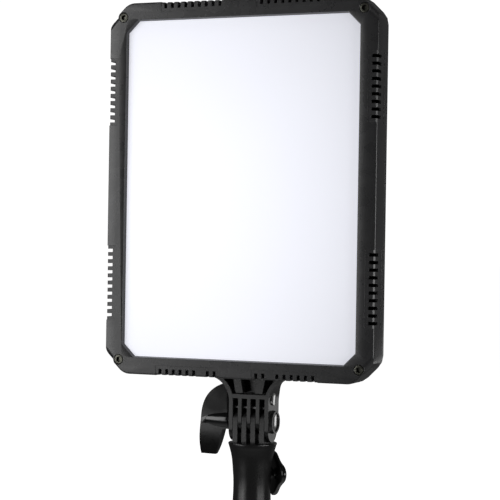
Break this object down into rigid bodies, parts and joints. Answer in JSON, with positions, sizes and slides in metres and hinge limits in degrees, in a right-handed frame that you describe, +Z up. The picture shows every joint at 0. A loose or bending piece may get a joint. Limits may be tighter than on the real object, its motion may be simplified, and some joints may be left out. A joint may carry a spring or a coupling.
{
  "type": "led panel light",
  "caption": "Rectangular LED panel light with an opal diffuser, slotted frame and clipped corners, on a tilting bracket with a clamp lever and a light stand receiver.",
  "frame": {"origin": "centre of the stand socket's mouth, on the underside of the receiver", "axes": "+Z up through the socket and the panel, the light faces -Y, +X to the right as seen from the front; the tilt axis runs along X at z = 94 mm"},
  "size_m": [0.278, 0.0807, 0.505],
  "materials": {
    "housing": "fine satin texture",
    "bracket": "black powder coat, satin",
    "grip": "glass-filled nylon, satin",
    "black_screw": "black oxide, turned rings",
    "plated": "bright zinc plate",
    "opal": "opal, softly glossy",
    "film": "matt white film",
    "acrylic": "polished edges",
    "board": "green solder mask",
    "aluminium": "mill finish",
    "brass": "turned",
    "black_plastic": "smooth moulded",
    "display_glass": "smoked, polished"
  },
  "bodies": {
    "receiver": {"stand_receiver": "bracket"},
    "lock_pad": {"pressure_pad": "plated"},
    "lock_knob": {"stand_lock_screw": "plated", "stand_lock_knob": "grip"},
    "head": {"front_frame": "housing", "rear_housing": "housing", "control_housing": "housing", "diffuser_panel": "opal", "diffusion_film": "film", "light_guide_plate": "acrylic", "reflector_sheet": "film", "led_strip_left": "board", "led_strip_right": "board", "heat_sink_plate": "aluminium", "driver_board": "board", "control_board": "board", "display_module": "black_plastic", "display_window": "display_glass", "dimmer_encoder": "aluminium", "colour_encoder": "aluminium", "mode_switch": "black_plastic", "preset_switch": "black_plastic", "power_switch_body": "black_plastic", "dc_inlet": "black_plastic", "dc_inlet_pin": "plated", "tilt_bracket": "bracket", "tilt_bolt": "plated", "lever_washer": "plated", "ear_plug_left": "plated", "ear_plug_right": "plated", "frame_screw_top_left": "black_screw", "frame_screw_top_right": "black_screw", "frame_screw_bottom_left": "black_screw", "frame_screw_bottom_right": "black_screw", "control_screw_1": "black_screw", "bracket_screw_1": "black_screw", "control_screw_2": "black_screw", "bracket_screw_2": "black_screw", "control_screw_3": "black_screw", "bracket_screw_3": "black_screw", "control_screw_4": "black_screw", "bracket_screw_4": "black_screw"},
    "lever": {"lever_insert": "brass", "tilt_lever": "grip"},
    "dimmer_dial": {"dimmer_shaft": "plated", "dimmer_knob": "grip"},
    "colour_dial": {"colour_shaft": "plated", "colour_knob": "grip"},
    "mode_button": {"mode_button": "grip"},
    "preset_button": {"preset_button": "grip"},
    "power_rocker": {"power_rocker": "grip"}
  },
  "joints": [
    {"name": "panel_tilt", "type": "hinge", "parent": "receiver", "child": "head", "pos_m": [0, 0, 0.094], "axis": [1, 0, 0], "range_deg": [-90, 90]},
    {"name": "tilt_lever_turn", "type": "hinge", "parent": "head", "child": "lever", "pos_m": [0, 0, 0.094], "axis": [1, 0, 0], "range_deg": [-360, 0]},
    {"name": "lock_pad_slide", "type": "slide", "parent": "receiver", "child": "lock_pad", "axis": [-0.766, -0.6428, 0], "range_m": [0, 0.00075]},
    {"name": "lock_knob_turn", "type": "hinge", "parent": "lock_pad", "child": "lock_knob", "pos_m": [0, 0, 0.0414], "axis": [-0.766, -0.6428, 0], "range_deg": [0, 270]},
    {"name": "dimmer_turn", "type": "hinge", "parent": "head", "child": "dimmer_dial", "pos_m": [-0.05, 0, 0.276], "axis": [0, 1, 0], "continuous": true},
    {"name": "colour_turn", "type": "hinge", "parent": "head", "child": "colour_dial", "pos_m": [0.05, 0, 0.276], "axis": [0, 1, 0], "continuous": true},
    {"name": "mode_press", "type": "slide", "parent": "head", "child": "mode_button", "axis": [0, -1, 0], "range_m": [0, 0.0008], "stiffness_N_per_m": 600, "springref_m": -0.0004},
    {"name": "preset_press", "type": "slide", "parent": "head", "child": "preset_button", "axis": [0, -1, 0], "range_m": [0, 0.0008], "stiffness_N_per_m": 600, "springref_m": -0.0004},
    {"name": "power_rock", "type": "hinge", "parent": "head", "child": "power_rocker", "pos_m": [-0.058, 0.0002, 0.33], "axis": [1, 0, 0], "range_deg": [0, 16]}
  ],
  "couplings": [
    {"joint": "lock_knob_turn", "follows": "lock_pad_slide", "rad_per_m": 6283.2}
  ]
}
